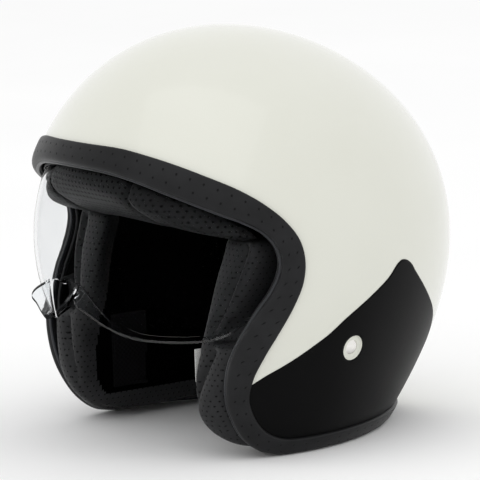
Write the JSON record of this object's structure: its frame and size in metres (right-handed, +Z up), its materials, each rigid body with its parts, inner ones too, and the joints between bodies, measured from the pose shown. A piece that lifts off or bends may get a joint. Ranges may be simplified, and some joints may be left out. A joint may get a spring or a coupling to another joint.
{
  "type": "open face motorcycle helmet",
  "caption": "Open face motorcycle helmet with a pearl white shell, black side panels, a leatherette edge trim, padded lining and an inner drop-down clear visor.",
  "frame": {"origin": "on the resting plane under the edge trim, centred in X and Y", "axes": "+Z up, the wearer faces -Y, the wearer's left is +X"},
  "size_m": [0.2506, 0.2789, 0.2521],
  "materials": {
    "shell_paint": "pearl white gloss clearcoat, with a black satin panel on each side",
    "trim_leather": "charcoal perforated leatherette",
    "eps_foam": "black expanded polystyrene",
    "lining_fabric": "black brushed mesh lining",
    "pad_leather": "black perforated leatherette",
    "black_plastic": "moulded black plastic",
    "clear_visor": "clear polycarbonate",
    "steel": "brushed",
    "polished_steel": "polished",
    "webbing": "black woven webbing",
    "label_fabric": "blank white woven label"
  },
  "bodies": {
    "helmet": {"outer_shell": "shell_paint", "edge_trim": "trim_leather", "eps_liner": "eps_foam", "crown_pad": "lining_fabric", "neck_roll": "pad_leather", "brow_pad_center": "pad_leather", "brow_pad_left": "pad_leather", "brow_pad_right": "pad_leather", "cheek_pad_left": "pad_leather", "cheek_pad_right": "pad_leather", "cheek_plate_left": "black_plastic", "cheek_plate_right": "black_plastic", "visor_pivot_base_left": "black_plastic", "visor_pivot_base_right": "black_plastic", "visor_pivot_screws": "steel", "strap_rivets": "polished_steel", "rivet_washers": "steel", "strap_anchor_plates": "steel", "strap_left": "webbing", "strap_right": "webbing", "strap_label": "label_fabric"},
    "visor": {"visor": "clear_visor"},
    "d_ring_large": {"d_ring_large": "polished_steel"},
    "d_ring_small": {"d_ring_small": "polished_steel"}
  },
  "joints": [
    {"name": "visor_hinge", "type": "hinge", "parent": "helmet", "child": "visor", "pos_m": [0, -0.01875, 0.124], "axis": [-1, 0, 0], "range_deg": [0, 36]},
    {"name": "d_ring_large_swing", "type": "hinge", "parent": "helmet", "child": "d_ring_large", "pos_m": [0.06105, -0.04575, 0.06715], "axis": [0, 1, 0], "range_deg": [0, 100]},
    {"name": "d_ring_small_swing", "type": "hinge", "parent": "helmet", "child": "d_ring_small", "pos_m": [0.06105, -0.04575, 0.06285], "axis": [0, 1, 0], "range_deg": [0, 100]}
  ]
}
